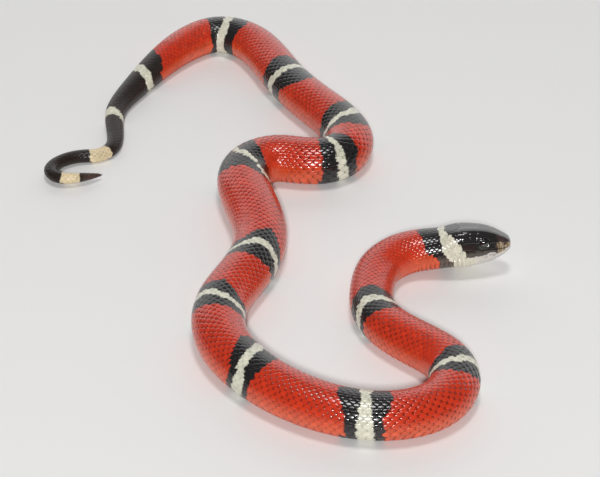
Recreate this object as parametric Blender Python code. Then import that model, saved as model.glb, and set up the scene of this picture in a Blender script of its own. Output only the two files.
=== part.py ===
"""A young milk snake at life size, lying in loose bends with its head lifted off the floor."""

import math

import bmesh
import bpy
import numpy as np
from mathutils import Matrix, Vector

MM = 0.001

# Where the middle of the body runs, from the tip of the snout to the tip of the tail, in
# millimetres: across, along, and how high the body is lifted off the floor.
ROUTE = [
    (44.1, -19.1, 2.7), (37.6, -18.8, 1.8), (30.8, -18.5, 0.85), (24.9, -19.0, 0.3),
    (20.0, -22.6, 0.0), (17.8, -29.5, 0.0), (18.1, -36.6, 0.0), (21.5, -42.7, 0.0),
    (26.0, -47.0, 0.0), (30.2, -51.6, 0.0), (31.2, -57.6, 0.0), (27.9, -63.1, 0.0),
    (21.0, -66.0, 0.0), (12.0, -65.2, 0.0), (3.2, -60.8, 0.0), (-5.0, -53.0, 0.0),
    (-9.4, -44.5, 0.0), (-9.6, -35.5, 0.0), (-5.6, -25.6, 0.0), (-2.9, -15.5, 0.0),
    (-4.4, -5.0, 0.0), (-6.4, 3.4, 0.0), (-5.4, 9.8, 0.0), (-0.4, 13.1, 0.0),
    (5.6, 12.4, 0.0), (11.2, 13.3, 0.0), (14.4, 18.2, 0.0), (13.1, 25.9, 0.0),
    (7.6, 35.0, 0.0), (1.2, 46.3, 0.0), (-3.9, 57.6, 0.0), (-8.5, 63.2, 0.0),
    (-13.8, 65.0, 0.0), (-19.3, 62.0, 0.0), (-25.5, 54.0, 0.0), (-31.0, 43.6, 0.0),
    (-34.2, 34.5, 0.0), (-33.5, 25.0, 0), (-34.4, 20.4, 0), (-36.7, 18.5, 0.05),
    (-39.3, 18.1, 0.15), (-42.1, 17.1, 0.3), (-44.5, 15.0, 0.45), (-45.5, 12.5, 0.55),
    (-44.0, 9.9, 0.65), (-41.5, 9.3, 0.7), (-38.5, 10.0, 0.8), (-36.5, 10.7, 0.9),
    (-35.1, 11.4, 1.0),
]
# The middle of the outline of the whole snake among those points.
ROUTE_MIDDLE = (-1.48, -0.65)
# Half the width of the body at distances from the snout.
GIRTH = [
    (0.0, 4.5), (13.8, 4.5), (22.0, 4.35), (31.0, 3.95), (40.0, 4.1), (49.0, 4.45),
    (75.0, 4.5), (95.0, 4.65), (120.0, 4.85), (145.0, 5.0), (160.0, 5.3), (172.0, 5.25),
    (190.0, 5.15), (205.0, 5.0), (230.0, 4.6), (250.0, 4.6), (264.0, 4.2), (279.0, 3.15),
    (293.0, 2.12), (305.0, 1.62), (315.0, 1.45), (326.0, 1.36), (332.0, 1.1), (335.0, 0.85),
    (337.0, 0.45),
]
# A resting body is a little flattened: shares of half its width.
BACK_HEIGHT = 0.88
BELLY_DEPTH = 0.74
BELLY_FLAT = 0.42
BELLY_EDGE = 160.0
BODY_SIDES_ABOVE = 10
BODY_SIDES_BELOW = 3

# The head, measured in front of the nape: distance from the snout, half width, height above
# the middle line and depth below it.
NAPE = 13.8
HEAD_PROFILE = [
    (0.12, 1.05, 0.85, 0.75), (0.6, 1.7, 1.42, 1.35), (1.3, 2.1, 1.9, 1.85),
    (2.2, 2.5, 2.45, 2.3), (3.5, 2.95, 3.1, 2.85), (5.2, 3.45, 3.62, 3.25),
    (7.6, 4.0, 3.98, 3.5), (10.2, 4.4, 4.1, 3.6), (12.2, 4.45, 4.05, 3.5),
    (13.8, 4.5, 3.96, 3.33),
]
HEAD_SIDES = 32
HEAD_RING_STEP = 0.45
CROWN_SQUARENESS = 0.72
CROWN_FLATNESS = 2.88
JAW_SQUARENESS = 0.8
HEAD_ROLL = math.radians(18.0)
ROLL_ENDS = 24.0
ROLL_STARTS = 9.0

EYE_AT = (5.05, 2.42, 1.22)
EYE_RADIUS = 1.2
EYE_GAP = 0.12
NOSTRIL_AT = (0.95, 1.95, 0.05)
NOSTRIL_RADIUS = 0.24
# The brow: its distance from the snout, half its length, its height and how far it stands out.
BROW = (4.9, 1.8, 2.3, 0.18)
# The lips: their height, how far they reach up and down, and how far they stand out.
LIP = (-0.45, 0.9, 0.12)
NECK_FROM = 9.5

# The line of the mouth seen from the side: distance from the snout and height.
MOUTH_LINE = [
    (-1.0, -0.65), (0.6, -0.65), (2.2, -0.6), (5.0, -0.5), (8.0, -0.1), (10.0, 0.3),
]
MOUTH_GAP = 0.24
JAW_CUT_LEAN = 1.2
JAW_SETBACK = 0.55

# White rings, by the distance of their middle from the snout, with half their length and how
# far the black reaches before and after them. The last four are on the tail.
RINGS = [
    (41.5, 0.65, 3.6, 4.2), (64.6, 0.65, 3.4, 3.7), (85.6, 0.75, 4.3, 4.9),
    (107.8, 0.75, 3.4, 4.6), (126.5, 0.7, 3.1, 4.6), (145.0, 0.7, 4.0, 4.2),
    (173.2, 0.65, 3.8, 5.0), (193.6, 0.7, 3.1, 3.2), (205.3, 0.7, 4.1, 4.6),
    (228.3, 0.7, 5.0, 5.2), (254.2, 0.7, 5.3, 4.9), (280.4, 0.8, 5.8, 99.0),
    (295.2, 0.95, 99.0, 99.0), (311.9, 1.95, 99.0, 99.0), (329.9, 1.75, 99.0, 99.0),
]
COLLAR = (11.6, 14.2)
NECK_BLACK_ENDS = 17.2

# Where one length of the body ends and the next begins, and the gap between two lengths.
LENGTHS = [
    ("neck", 13.8, 38.0), ("body_01", 38.0, 58.0), ("body_02", 58.0, 78.0),
    ("body_03", 78.0, 100.0), ("body_04", 100.0, 122.0), ("body_05", 122.0, 143.0),
    ("body_06", 143.0, 165.0), ("body_07", 165.0, 186.0), ("body_08", 186.0, 207.0),
    ("body_09", 207.0, 230.0), ("body_10", 230.0, 250.0), ("body_11", 250.0, 268.0),
    ("body_12", 268.0, 284.0), ("tail_01", 284.0, 300.0), ("tail_02", 300.0, 316.0),
    ("tail_03", 316.0, 327.6), ("tail_tip", 327.6, 336.4),
]
PART_GAP = 0.3

# The belly plates, made twice as long as the real ones, with a groove between each two.
PLATE_LENGTH = 3.2
GROOVE_HALF = 0.42
GROOVE_DEPTH = 0.3
CLEAR_OF_CUT = 1.3

SCARLET = (0.48, 0.035, 0.012, 1.0)
BLACK = (0.012, 0.010, 0.010, 1.0)
CREAM = (0.62, 0.60, 0.42, 1.0)
EYE_BLACK = (0.004, 0.004, 0.005, 1.0)


def clear_scene():
    """Removes whatever the scene starts with."""
    for item in list(bpy.data.objects):
        bpy.data.objects.remove(item, do_unlink=True)


def new_collection(name):
    """A collection in the scene for the parts or for the cutters."""
    collection = bpy.data.collections.new(name)
    bpy.context.scene.collection.children.link(collection)
    return collection


def new_material(name, colour, roughness):
    """A plain glossy skin or eye colour."""
    material = bpy.data.materials.new(name)
    material.use_nodes = True
    shader = material.node_tree.nodes["Principled BSDF"]
    shader.inputs["Base Color"].default_value = colour
    shader.inputs["Roughness"].default_value = roughness
    shader.inputs["Metallic"].default_value = 0.0
    material.diffuse_color = colour
    return material


def smooth_curve(marks, values):
    """A curve that bends evenly through the values, given at the marks along it."""
    marks = np.asarray(marks, float)
    values = np.asarray(values, float).reshape(len(marks), -1)
    gaps = np.diff(marks)[:, None]
    slopes = np.diff(values, axis=0) / gaps
    system = np.eye(len(marks))
    change = np.zeros_like(values)
    for i in range(1, len(marks) - 1):
        system[i, i - 1:i + 2] = gaps[i - 1, 0], 2 * (gaps[i - 1, 0] + gaps[i, 0]), gaps[i, 0]
        change[i] = 6 * (slopes[i] - slopes[i - 1])
    bend = np.linalg.solve(system, change)

    def at(where):
        where = np.atleast_1d(np.asarray(where, float))
        i = np.clip(np.searchsorted(marks, where) - 1, 0, len(gaps) - 1)
        gap = gaps[i]
        past = (where - marks[i])[:, None]
        left = gap - past
        return (
            (bend[i] * left**3 + bend[i + 1] * past**3) / (6 * gap)
            + (values[i] / gap - bend[i] * gap / 6) * left
            + (values[i + 1] / gap - bend[i + 1] * gap / 6) * past
        )

    return at


def distances(points):
    """How far along a row of points each one lies."""
    return np.concatenate([[0], np.cumsum(np.linalg.norm(np.diff(points, axis=0), axis=1))])


def trace_route():
    """The middle of the body as closely spaced points, and their distances from the snout."""
    points = np.array(ROUTE)
    points[:, :2] -= ROUTE_MIDDLE
    curve = smooth_curve(distances(points[:, :2]), points)
    fine = curve(np.linspace(0, distances(points[:, :2])[-1], 3000))
    fine[:, 2] = np.maximum(fine[:, 2], 0)
    return fine, distances(fine[:, :2])


ROUTE_POINTS, ROUTE_DISTANCES = trace_route()


def half_width(where):
    """Half the width of the body, eased between the measured places."""
    spread = np.linspace(-5, 5, 21)
    marks, widths = zip(*GIRTH)
    return float(np.mean(np.interp(where + spread, marks, widths)))


def tail_width(where):
    """The same, run out to a point at the tip of the tail."""
    end = LENGTHS[-1][2]
    shrink = max(end - where, 0) / 6.0
    return half_width(where) * math.sqrt(min(1, shrink) * (2 - min(1, shrink)))


def middle(where):
    """The middle line of the body, at the level where the body is widest."""
    where = max(where, NAPE)
    x, y, lift = (np.interp(where, ROUTE_DISTANCES, ROUTE_POINTS[:, k]) for k in range(3))
    return Vector((x, y, lift + BELLY_DEPTH * tail_width(where)))


def frame_at(where):
    """The middle of the body there, with its tailward, left and up directions."""
    ahead = middle(max(where, NAPE) + 0.3)
    behind = middle(max(where, NAPE) - 0.3) if where > NAPE + 0.3 else middle(NAPE)
    tailward = (ahead - behind).normalized()
    origin = middle(where)
    if where < NAPE:
        origin = middle(NAPE) - tailward * (NAPE - where)
    left = Vector((0, 0, 1)).cross(-tailward).normalized()
    up = (-tailward).cross(left)
    roll = HEAD_ROLL * ease((ROLL_ENDS - where) / (ROLL_ENDS - ROLL_STARTS))
    turn = Matrix.Rotation(-roll, 3, -tailward)
    return origin, tailward, turn @ left, turn @ up


def ease(share):
    """A share from 0 to 1 with soft ends."""
    share = min(max(share, 0.0), 1.0)
    return share * share * (3 - 2 * share)


def place(where, side, height):
    """A point of the snake in metres, from its distance, its place to the left and upwards."""
    origin, _, left, up = frame_at(where)
    return (origin + left * side + up * height) * MM


def belly_groove(where):
    """How far the belly is drawn in between two plates."""
    off = abs((where + PLATE_LENGTH / 2) % PLATE_LENGTH - PLATE_LENGTH / 2)
    size = min(1.0, half_width(where) / 4.5)
    return GROOVE_DEPTH * size * max(0.0, 1 - off / GROOVE_HALF)


def body_point(turn):
    """Where the skin is, in half widths, at a turn in degrees from the middle of the back."""
    angle = math.radians(abs(turn))
    if abs(turn) <= 90:
        side, height = math.sin(angle), BACK_HEIGHT * math.cos(angle)
    else:
        round_share = min(1.0, (abs(turn) - 90) / (BELLY_EDGE - 90))
        flat_share = max(0.0, (abs(turn) - BELLY_EDGE) / (180 - BELLY_EDGE))
        side = BELLY_FLAT + (1 - BELLY_FLAT) * math.cos(math.radians(90 * round_share))
        side -= BELLY_FLAT * flat_share
        height = -BELLY_DEPTH * math.sin(math.radians(90 * round_share))
    return math.copysign(side, turn), height


def body_turns():
    """The turns from the middle of the back at which the body's long edges run."""
    above = [-90 + 180 * i / BODY_SIDES_ABOVE for i in range(BODY_SIDES_ABOVE + 1)]
    below = [90 + (BELLY_EDGE - 90) * i / BODY_SIDES_BELOW for i in range(1, BODY_SIDES_BELOW + 1)]
    return above + below + [-turn for turn in reversed(below)]


def body_ring(where, shift=0.0):
    """The points round the body at one distance, moved along it for the face of a cut."""
    width = tail_width(where)
    groove = belly_groove(where) if shift == 0 else 0.0
    _, tailward, _, _ = frame_at(where)
    moved = tailward * shift * MM
    ring = []
    for turn in body_turns():
        side, height = body_point(turn)
        belly = groove * min(1.0, max(0.0, (abs(turn) - 90) / 40))
        ring.append(place(where, side * width, height * width + belly) + moved)
    return ring


HEAD_CURVE = smooth_curve(
    [math.sqrt(row[0]) for row in HEAD_PROFILE], [row[1:] for row in HEAD_PROFILE]
)


def head_point(where, turn):
    """The side and height of the head's skin at a distance and a turn from the crown."""
    width, height, depth = HEAD_CURVE(math.sqrt(where))[0]
    across, upward = math.sin(math.radians(turn)), math.cos(math.radians(turn))
    square = CROWN_SQUARENESS if upward > 0 else JAW_SQUARENESS
    if upward > 0:
        side = width * math.copysign((1 - upward**CROWN_FLATNESS)**(square / CROWN_FLATNESS), across)
    else:
        side = width * math.copysign(abs(across)**square, across)
    level = math.copysign(abs(upward)**square, upward) * (height if upward > 0 else depth)
    brow = ease(1 - abs(where - BROW[0]) / BROW[1]) * ease(1 - abs(level - BROW[2]) / 1.0)
    lip = ease(1 - abs(level - LIP[0]) / LIP[1]) * ease((11.0 - where) / 4.0)
    side += math.copysign(BROW[3] * brow + LIP[2] * lip, side)
    neck = ease((where - NECK_FROM) / (NAPE - NECK_FROM))
    neck_side, neck_level = body_point(turn)
    half = half_width(NAPE)
    side += neck * (neck_side * half - side)
    level += neck * (neck_level * half - level)
    return side, level


def head_ring(where):
    """The points round the head: a square crown, full lips and a rounder jaw."""
    turns = [-180 + 360 * (i + 0.5) / HEAD_SIDES for i in range(HEAD_SIDES)]
    return [place(where, *head_point(where, turn)) for turn in turns]


def skin_over(name, rings, colours, materials, collection):
    """One closed body from rings of points, its two ends filled, coloured band by band."""
    shape = bmesh.new()
    rows = [[shape.verts.new(point) for point in ring] for ring in rings]
    count = len(rows[0])
    for row, after, colour in zip(rows, rows[1:], colours):
        for k in range(count):
            face = shape.faces.new((row[k], row[(k + 1) % count], after[(k + 1) % count], after[k]))
            face.material_index = colour
            face.smooth = True
    shape.faces.new(rows[0]).material_index = colours[0]
    shape.faces.new(rows[-1]).material_index = colours[-1]
    bmesh.ops.recalc_face_normals(shape, faces=shape.faces)
    mesh = bpy.data.meshes.new(name)
    shape.to_mesh(mesh)
    shape.free()
    for material in materials:
        mesh.materials.append(material)
    item = bpy.data.objects.new(name, mesh)
    collection.objects.link(item)
    return item


def band_colour(where):
    """0 for scarlet, 1 for black and 2 for cream at a distance from the snout."""
    if where < COLLAR[0]:
        return 1
    if where < COLLAR[1]:
        return 2
    if where < NECK_BLACK_ENDS:
        return 1
    for at, half, before, after in RINGS:
        if abs(where - at) < half:
            return 2
        if at - before < where < at + after:
            return 1
    return 0


def band_edges():
    """The distances at which the colour of the body changes."""
    edges = [COLLAR[1], NECK_BLACK_ENDS]
    for at, half, before, after in RINGS:
        edges += [at - half, at + half]
        edges += [at - before] if before < 90 else []
        edges += [at + after] if after < 90 else []
    return edges


def ring_places(start, end):
    """Where the rings of one length stand: at its plates' grooves and its bands' edges."""
    first = math.ceil(start / PLATE_LENGTH)
    last = math.floor(end / PLATE_LENGTH)
    grooves = [k * PLATE_LENGTH + off for k in range(first, last + 1)
               for off in (-GROOVE_HALF, 0.0, GROOVE_HALF)]
    places = sorted(band_edges() + grooves)
    kept = []
    for where in places:
        clear = start + CLEAR_OF_CUT < where < end - CLEAR_OF_CUT
        if clear and (not kept or where - kept[-1] > 0.2):
            kept.append(where)
    return kept


def make_length(name, start, end, materials, collection):
    """One length of neck, body or tail, between two flat cuts."""
    inner = ring_places(start, end)
    places = [start] + inner + [end]
    rings = [body_ring(start, PART_GAP / 2)]
    rings += [body_ring(where) for where in inner]
    rings.append(body_ring(end, 0.0 if name == "tail_tip" else -PART_GAP / 2))
    colours = [band_colour((a + b) / 2) for a, b in zip(places, places[1:])]
    return skin_over(name, rings, colours, materials, collection)


def make_ball(name, at, radius, material, collection, segments=20, rings=12):
    """A ball set in the head at a distance, to one side and at a height."""
    shape = bmesh.new()
    bmesh.ops.create_uvsphere(
        shape, u_segments=segments, v_segments=rings, radius=radius * MM,
        matrix=Matrix.Translation(place(*at)),
    )
    for face in shape.faces:
        face.smooth = True
    mesh = bpy.data.meshes.new(name)
    shape.to_mesh(mesh)
    shape.free()
    mesh.materials.append(material)
    item = bpy.data.objects.new(name, mesh)
    collection.objects.link(item)
    return item


def make_jaw_block(name, raise_by, reach, setback, materials, cutters):
    """What lies below the line of the mouth and in front of the throat, as a solid."""
    line = [(where, level + raise_by) for where, level in MOUTH_LINE]
    line[0] = (setback, line[0][1])
    line[-1] = (line[-1][0] + reach, line[-1][1])
    bottom = -6.0
    line += [(line[-1][0] + JAW_CUT_LEAN, bottom), (setback, bottom)]
    rings = [[place(where, side, level) for where, level in line] for side in (-6.0, 0.0, 6.0)]
    block = skin_over(name, rings, [1, 1], materials, cutters)
    block.hide_render = True
    block.display_type = "WIRE"
    return block


def cut(item, tool, operation):
    """Applies a Boolean to the item, and keeps only its largest closed surface."""
    change = item.modifiers.new("cut", "BOOLEAN")
    change.object = tool
    change.operation = operation
    change.solver = "EXACT"
    graph = bpy.context.evaluated_depsgraph_get()
    result = bpy.data.meshes.new_from_object(item.evaluated_get(graph))
    item.modifiers.remove(change)
    item.data = result
    keep_largest(item.data)


def keep_largest(mesh):
    """Drops loose scraps left by a cut."""
    shape = bmesh.new()
    shape.from_mesh(mesh)
    left = set(shape.verts)
    groups = []
    while left:
        group = {left.pop()}
        edge = list(group)
        while edge:
            for link in edge.pop().link_edges:
                for vert in link.verts:
                    if vert in left:
                        left.remove(vert)
                        group.add(vert)
                        edge.append(vert)
        groups.append(group)
    groups.sort(key=len)
    for group in groups[:-1]:
        bmesh.ops.delete(shape, geom=list(group), context="VERTS")
    shape.to_mesh(mesh)
    shape.free()


def head_ring_places():
    """Ring places down the head, closer together at the snout."""
    count = round((NAPE - 0.12) / HEAD_RING_STEP)
    return [0.12 + (NAPE - 0.12) * (i / count)**1.25 for i in range(count + 1)]


def make_head_shape(name, materials, collection):
    """The whole head as one closed body, before the mouth and the sockets are cut."""
    places = head_ring_places()
    rings = [head_ring(where) for where in places[:-1]]
    rings.append(head_ring(NAPE))
    _, tailward, _, _ = frame_at(NAPE)
    rings[-1] = [point - tailward * (PART_GAP / 2 * MM) for point in rings[-1]]
    colours = [2 if where > COLLAR[0] else 1 for where in places[:-1]]
    return skin_over(name, rings, colours, materials, collection)


def mirrored(at, side):
    """The same place on the left or the right of the head."""
    return at[0], at[1] * side, at[2]


def make_head(skins, eye_material, parts, cutters):
    """The upper head with its sockets and nostrils, the lower jaw and the two eyes."""
    head = make_head_shape("head", skins, parts)
    jaw = make_head_shape("lower_jaw", skins, parts)
    above = make_jaw_block("mouth_above", MOUTH_GAP / 2, MOUTH_GAP / 2, -1.0, skins, cutters)
    below = make_jaw_block(
        "mouth_below", -MOUTH_GAP / 2, -MOUTH_GAP / 2, JAW_SETBACK, skins, cutters
    )
    cut(head, above, "DIFFERENCE")
    cut(jaw, below, "INTERSECT")
    for side, word in ((1, "left"), (-1, "right")):
        socket = make_ball(
            "socket_" + word, mirrored(EYE_AT, side), EYE_RADIUS + EYE_GAP, eye_material, cutters
        )
        nostril = make_ball(
            "nostril_" + word, mirrored(NOSTRIL_AT, side), NOSTRIL_RADIUS, eye_material, cutters,
            segments=10, rings=6,
        )
        for tool in (socket, nostril):
            tool.hide_render = True
            tool.display_type = "WIRE"
            tool.data.polygons.foreach_set("material_index", [1] * len(tool.data.polygons))
            cut(head, tool, "DIFFERENCE")
        make_ball("eye_" + word, mirrored(EYE_AT, side), EYE_RADIUS, eye_material, parts)


def main():
    clear_scene()
    parts = new_collection("milk_snake")
    cutters = new_collection("cutters")
    skins = [
        new_material("scarlet_skin", SCARLET, 0.32),
        new_material("black_skin", BLACK, 0.28),
        new_material("cream_skin", CREAM, 0.36),
    ]
    eye_material = new_material("eye_black", EYE_BLACK, 0.05)
    make_head(skins, eye_material, parts, cutters)
    for name, start, end in LENGTHS:
        make_length(name, start, end, skins, parts)


main()
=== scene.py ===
"""A young milk snake at life size, dressed in its skin, head shields, scales and eyes."""

import math

import bpy
import numpy as np
from mathutils import Matrix, Vector
from mathutils.kdtree import KDTree


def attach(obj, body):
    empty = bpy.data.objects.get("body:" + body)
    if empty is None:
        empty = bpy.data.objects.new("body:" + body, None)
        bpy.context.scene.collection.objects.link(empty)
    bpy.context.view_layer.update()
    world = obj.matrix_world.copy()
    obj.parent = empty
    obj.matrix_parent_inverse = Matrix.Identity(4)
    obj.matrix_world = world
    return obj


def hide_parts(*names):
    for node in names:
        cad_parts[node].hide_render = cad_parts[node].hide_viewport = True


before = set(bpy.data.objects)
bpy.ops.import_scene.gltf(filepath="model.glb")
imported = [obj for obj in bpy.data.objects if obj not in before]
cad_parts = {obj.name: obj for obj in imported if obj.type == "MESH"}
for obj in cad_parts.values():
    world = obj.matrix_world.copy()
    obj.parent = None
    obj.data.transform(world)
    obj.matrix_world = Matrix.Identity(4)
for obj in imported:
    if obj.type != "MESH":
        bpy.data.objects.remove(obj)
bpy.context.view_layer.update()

# ---------------------------------------------------------------------------------------
# The skin. A snake has one unbroken skin from the snout to the tip of the tail, soft between
# the scales, where it is coloured a third as bright as the markings: partly its own darker tone
# and partly painted shade in the gaps. On the head it carries large smooth shields that meet in
# fine seams. It is laid ring by ring along the route that the CAD solids follow.
MM = 0.001
ROUTE = [
    (44.1, -19.1, 2.7), (37.6, -18.8, 1.8), (30.8, -18.5, 0.85), (24.9, -19.0, 0.3),
    (20.0, -22.6, 0.0), (17.8, -29.5, 0.0), (18.1, -36.6, 0.0), (21.5, -42.7, 0.0),
    (26.0, -47.0, 0.0), (30.2, -51.6, 0.0), (31.2, -57.6, 0.0), (27.9, -63.1, 0.0),
    (21.0, -66.0, 0.0), (12.0, -65.2, 0.0), (3.2, -60.8, 0.0), (-5.0, -53.0, 0.0),
    (-9.4, -44.5, 0.0), (-9.6, -35.5, 0.0), (-5.6, -25.6, 0.0), (-2.9, -15.5, 0.0),
    (-4.4, -5.0, 0.0), (-6.4, 3.4, 0.0), (-5.4, 9.8, 0.0), (-0.4, 13.1, 0.0),
    (5.6, 12.4, 0.0), (11.2, 13.3, 0.0), (14.4, 18.2, 0.0), (13.1, 25.9, 0.0),
    (7.6, 35.0, 0.0), (1.2, 46.3, 0.0), (-3.9, 57.6, 0.0), (-8.5, 63.2, 0.0),
    (-13.8, 65.0, 0.0), (-19.3, 62.0, 0.0), (-25.5, 54.0, 0.0), (-31.0, 43.6, 0.0),
    (-34.2, 34.5, 0.0), (-33.5, 25.0, 0), (-34.4, 20.4, 0), (-36.7, 18.5, 0.05),
    (-39.3, 18.1, 0.15), (-42.1, 17.1, 0.3), (-44.5, 15.0, 0.45), (-45.5, 12.5, 0.55),
    (-44.0, 9.9, 0.65), (-41.5, 9.3, 0.7), (-38.5, 10.0, 0.8), (-36.5, 10.7, 0.9),
    (-35.1, 11.4, 1.0),
]
ROUTE_MIDDLE = (-1.48, -0.65)
GIRTH = [
    (0.0, 4.5), (13.8, 4.5), (22.0, 4.35), (31.0, 3.95), (40.0, 4.1), (49.0, 4.45),
    (75.0, 4.5), (95.0, 4.65), (120.0, 4.85), (145.0, 5.0), (160.0, 5.3), (172.0, 5.25),
    (190.0, 5.15), (205.0, 5.0), (230.0, 4.6), (250.0, 4.6), (264.0, 4.2), (279.0, 3.15),
    (293.0, 2.12), (305.0, 1.62), (315.0, 1.45), (326.0, 1.36), (332.0, 1.1), (335.0, 0.85),
    (337.0, 0.45),
]
TAIL_END = 336.4
NAPE = 13.8
HEAD_PROFILE = [
    (0.12, 1.05, 0.85, 0.75), (0.6, 1.7, 1.42, 1.35), (1.3, 2.1, 1.9, 1.85),
    (2.2, 2.5, 2.45, 2.3), (3.5, 2.95, 3.1, 2.85), (5.2, 3.45, 3.62, 3.25),
    (7.6, 4.0, 3.98, 3.5), (10.2, 4.4, 4.1, 3.6), (12.2, 4.45, 4.05, 3.5),
    (13.8, 4.5, 3.96, 3.33),
]
EYE_AT = (5.05, 2.42, 1.22)
EYE_RADIUS = 1.2


def smooth_curve(marks, values):
    """A curve that bends evenly through the values, given at the marks along it."""
    marks = np.asarray(marks, float)
    values = np.asarray(values, float).reshape(len(marks), -1)
    gaps = np.diff(marks)[:, None]
    slopes = np.diff(values, axis=0) / gaps
    system = np.eye(len(marks))
    change = np.zeros_like(values)
    for i in range(1, len(marks) - 1):
        system[i, i - 1:i + 2] = gaps[i - 1, 0], 2 * (gaps[i - 1, 0] + gaps[i, 0]), gaps[i, 0]
        change[i] = 6 * (slopes[i] - slopes[i - 1])
    bend = np.linalg.solve(system, change)

    def at(where):
        where = np.atleast_1d(np.asarray(where, float))
        i = np.clip(np.searchsorted(marks, where) - 1, 0, len(gaps) - 1)
        gap = gaps[i]
        past = (where - marks[i])[:, None]
        left = gap - past
        return (
            (bend[i] * left**3 + bend[i + 1] * past**3) / (6 * gap)
            + (values[i] / gap - bend[i] * gap / 6) * left
            + (values[i + 1] / gap - bend[i + 1] * gap / 6) * past
        )

    return at


def distances(points):
    """How far along a row of points each one lies."""
    return np.concatenate([[0], np.cumsum(np.linalg.norm(np.diff(points, axis=0), axis=1))])


def unit(rows):
    """Each row brought to length one."""
    return rows / np.maximum(np.linalg.norm(rows, axis=-1, keepdims=True), 1e-12)


def ease(share):
    """A share from 0 to 1 with soft ends."""
    share = np.clip(share, 0, 1)
    return share * share * (3 - 2 * share)


def half_width(where):
    """Half the width of the body, eased between the measured places and shut at the tip."""
    where = np.asarray(where, float)
    marks, widths = zip(*GIRTH)
    wide = np.mean([np.interp(where + d, marks, widths) for d in np.linspace(-5, 5, 21)], axis=0)
    left = np.clip((TAIL_END - where) / 6, 0, 1)
    return wide * np.sqrt(left * (2 - left))


def trace_spine():
    """The spine every twentieth of a millimetre: distance, place, and its left and up."""
    points = np.array(ROUTE)
    points[:, :2] -= ROUTE_MIDDLE
    knots = distances(points[:, :2])
    fine = smooth_curve(knots, points)(np.linspace(0, knots[-1], 3000))
    fine[:, 2] = np.maximum(fine[:, 2], 0)
    run = distances(fine[:, :2])

    def middle(where):
        where = np.maximum(where, NAPE)
        place = np.stack([np.interp(where, run, fine[:, k]) for k in range(3)], -1)
        place[:, 2] += 0.74 * half_width(where)
        return place

    where = np.linspace(0, TAIL_END, 6649)
    behind = np.where((where > NAPE + 0.3)[:, None], middle(where - 0.3), middle(where * 0 + NAPE))
    tailward = unit(middle(np.maximum(where, NAPE) + 0.3) - behind)
    spine = middle(where) - tailward * np.maximum(NAPE - where, 0)[:, None]
    left = unit(np.cross((0, 0, 1), -tailward))
    up = np.cross(-tailward, left)
    roll = math.radians(18) * ease((24.0 - where) / 15)[:, None]
    left, up = left * np.cos(roll) - up * np.sin(roll), up * np.cos(roll) + left * np.sin(roll)
    return where, spine, left, up


SPINE_AT, SPINE, SPINE_LEFT, SPINE_UP = trace_spine()
HEAD_CURVE = smooth_curve(
    [math.sqrt(row[0]) for row in HEAD_PROFILE], [row[1:] for row in HEAD_PROFILE]
)


def body_point(turn):
    """Where the skin is, in half widths, at a turn in degrees from the middle of the back."""
    away = np.abs(turn)
    rounding = np.radians(90 * np.clip((away - 90) / 70, 0, 1))
    below = 0.42 + 0.58 * np.cos(rounding) - 0.42 * np.clip((away - 160) / 20, 0, 1)
    side = np.where(away <= 90, np.sin(np.radians(away)), below)
    level = np.where(away <= 90, 0.88 * np.cos(np.radians(away)), -0.74 * np.sin(rounding))
    return np.sign(turn) * side, level


def head_point(where, turn):
    """The side and height of the head's skin at a distance and a turn from the crown."""
    tip = np.sqrt(np.clip(1 - np.clip(1 - where / 0.12, 0, 1)**2, 0, 1))
    rows = HEAD_CURVE(np.sqrt(np.clip(where, 0.12, NAPE)).ravel())
    width, height, depth = np.moveaxis(rows.reshape(np.shape(where) + (3,)), -1, 0)
    across, upward = np.sin(np.radians(turn)), np.cos(np.radians(turn))
    square = np.where(upward > 0, 0.72, 0.8)
    crowned = (1 - np.clip(upward, 0, 1)**2.88)**0.25
    side = width * np.sign(across) * np.where(upward > 0, crowned, np.abs(across)**0.8)
    level = np.sign(upward) * np.abs(upward)**square * np.where(upward > 0, height, depth)
    brow = ease(1 - np.abs(where - 4.9) / 1.8) * ease(1 - np.abs(level - 2.3))
    lip = ease(1 - np.abs(level + 0.45) / 0.9) * ease((11.0 - where) / 4)
    side = side + np.sign(across) * (0.18 * brow + 0.12 * lip)
    neck = ease((where - 9.5) / (NAPE - 9.5))
    neck_side, neck_level = body_point(turn)
    half = half_width(NAPE)
    side = side + neck * (neck_side * half - side)
    level = level + neck * (neck_level * half - level)
    return side * tip, level * tip


def on_form(where, turn):
    """Points of the snake's smooth form, in millimetres."""
    where, turn = np.broadcast_arrays(np.asarray(where, float), np.asarray(turn, float))
    head_side, head_level = head_point(np.minimum(where, NAPE), turn)
    side, level = body_point(turn)
    half = half_width(where)
    side = np.where(where < NAPE, head_side, side * half)[..., None]
    level = np.where(where < NAPE, head_level, level * half)[..., None]
    spine, left, up = (
        np.stack([np.interp(where, SPINE_AT, table[:, k]) for k in range(3)], -1)
        for table in (SPINE, SPINE_LEFT, SPINE_UP)
    )
    return spine + side * left + level * up


def outward(where, turn):
    """The direction that the skin faces at each point."""
    where = np.clip(where, 0.02, TAIL_END - 0.03)
    tailward = on_form(where + 0.02, turn) - on_form(where - 0.02, turn)
    leftward = on_form(where, turn + 0.3) - on_form(where, turn - 0.3)
    return unit(np.cross(leftward, tailward))


def round_tables():
    """For stations down the head, the turn at each share of the way round from the crown."""
    stations = np.concatenate([np.arange(0.1, NAPE, 0.25), [NAPE, NAPE + 1]])
    turns = np.linspace(0, 180, 721)
    shares = np.linspace(0, 1, 361)
    rows = []
    for station in stations:
        if station < NAPE:
            side, level = head_point(np.full_like(turns, station), turns)
        else:
            side, level = body_point(turns)
        run = distances(np.stack([side, level], -1))
        rows.append(np.interp(shares, run / run[-1], turns))
    return stations, shares, np.array(rows)


ROUND_AT, ROUND_SHARES, ROUND_TURNS = round_tables()


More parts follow.
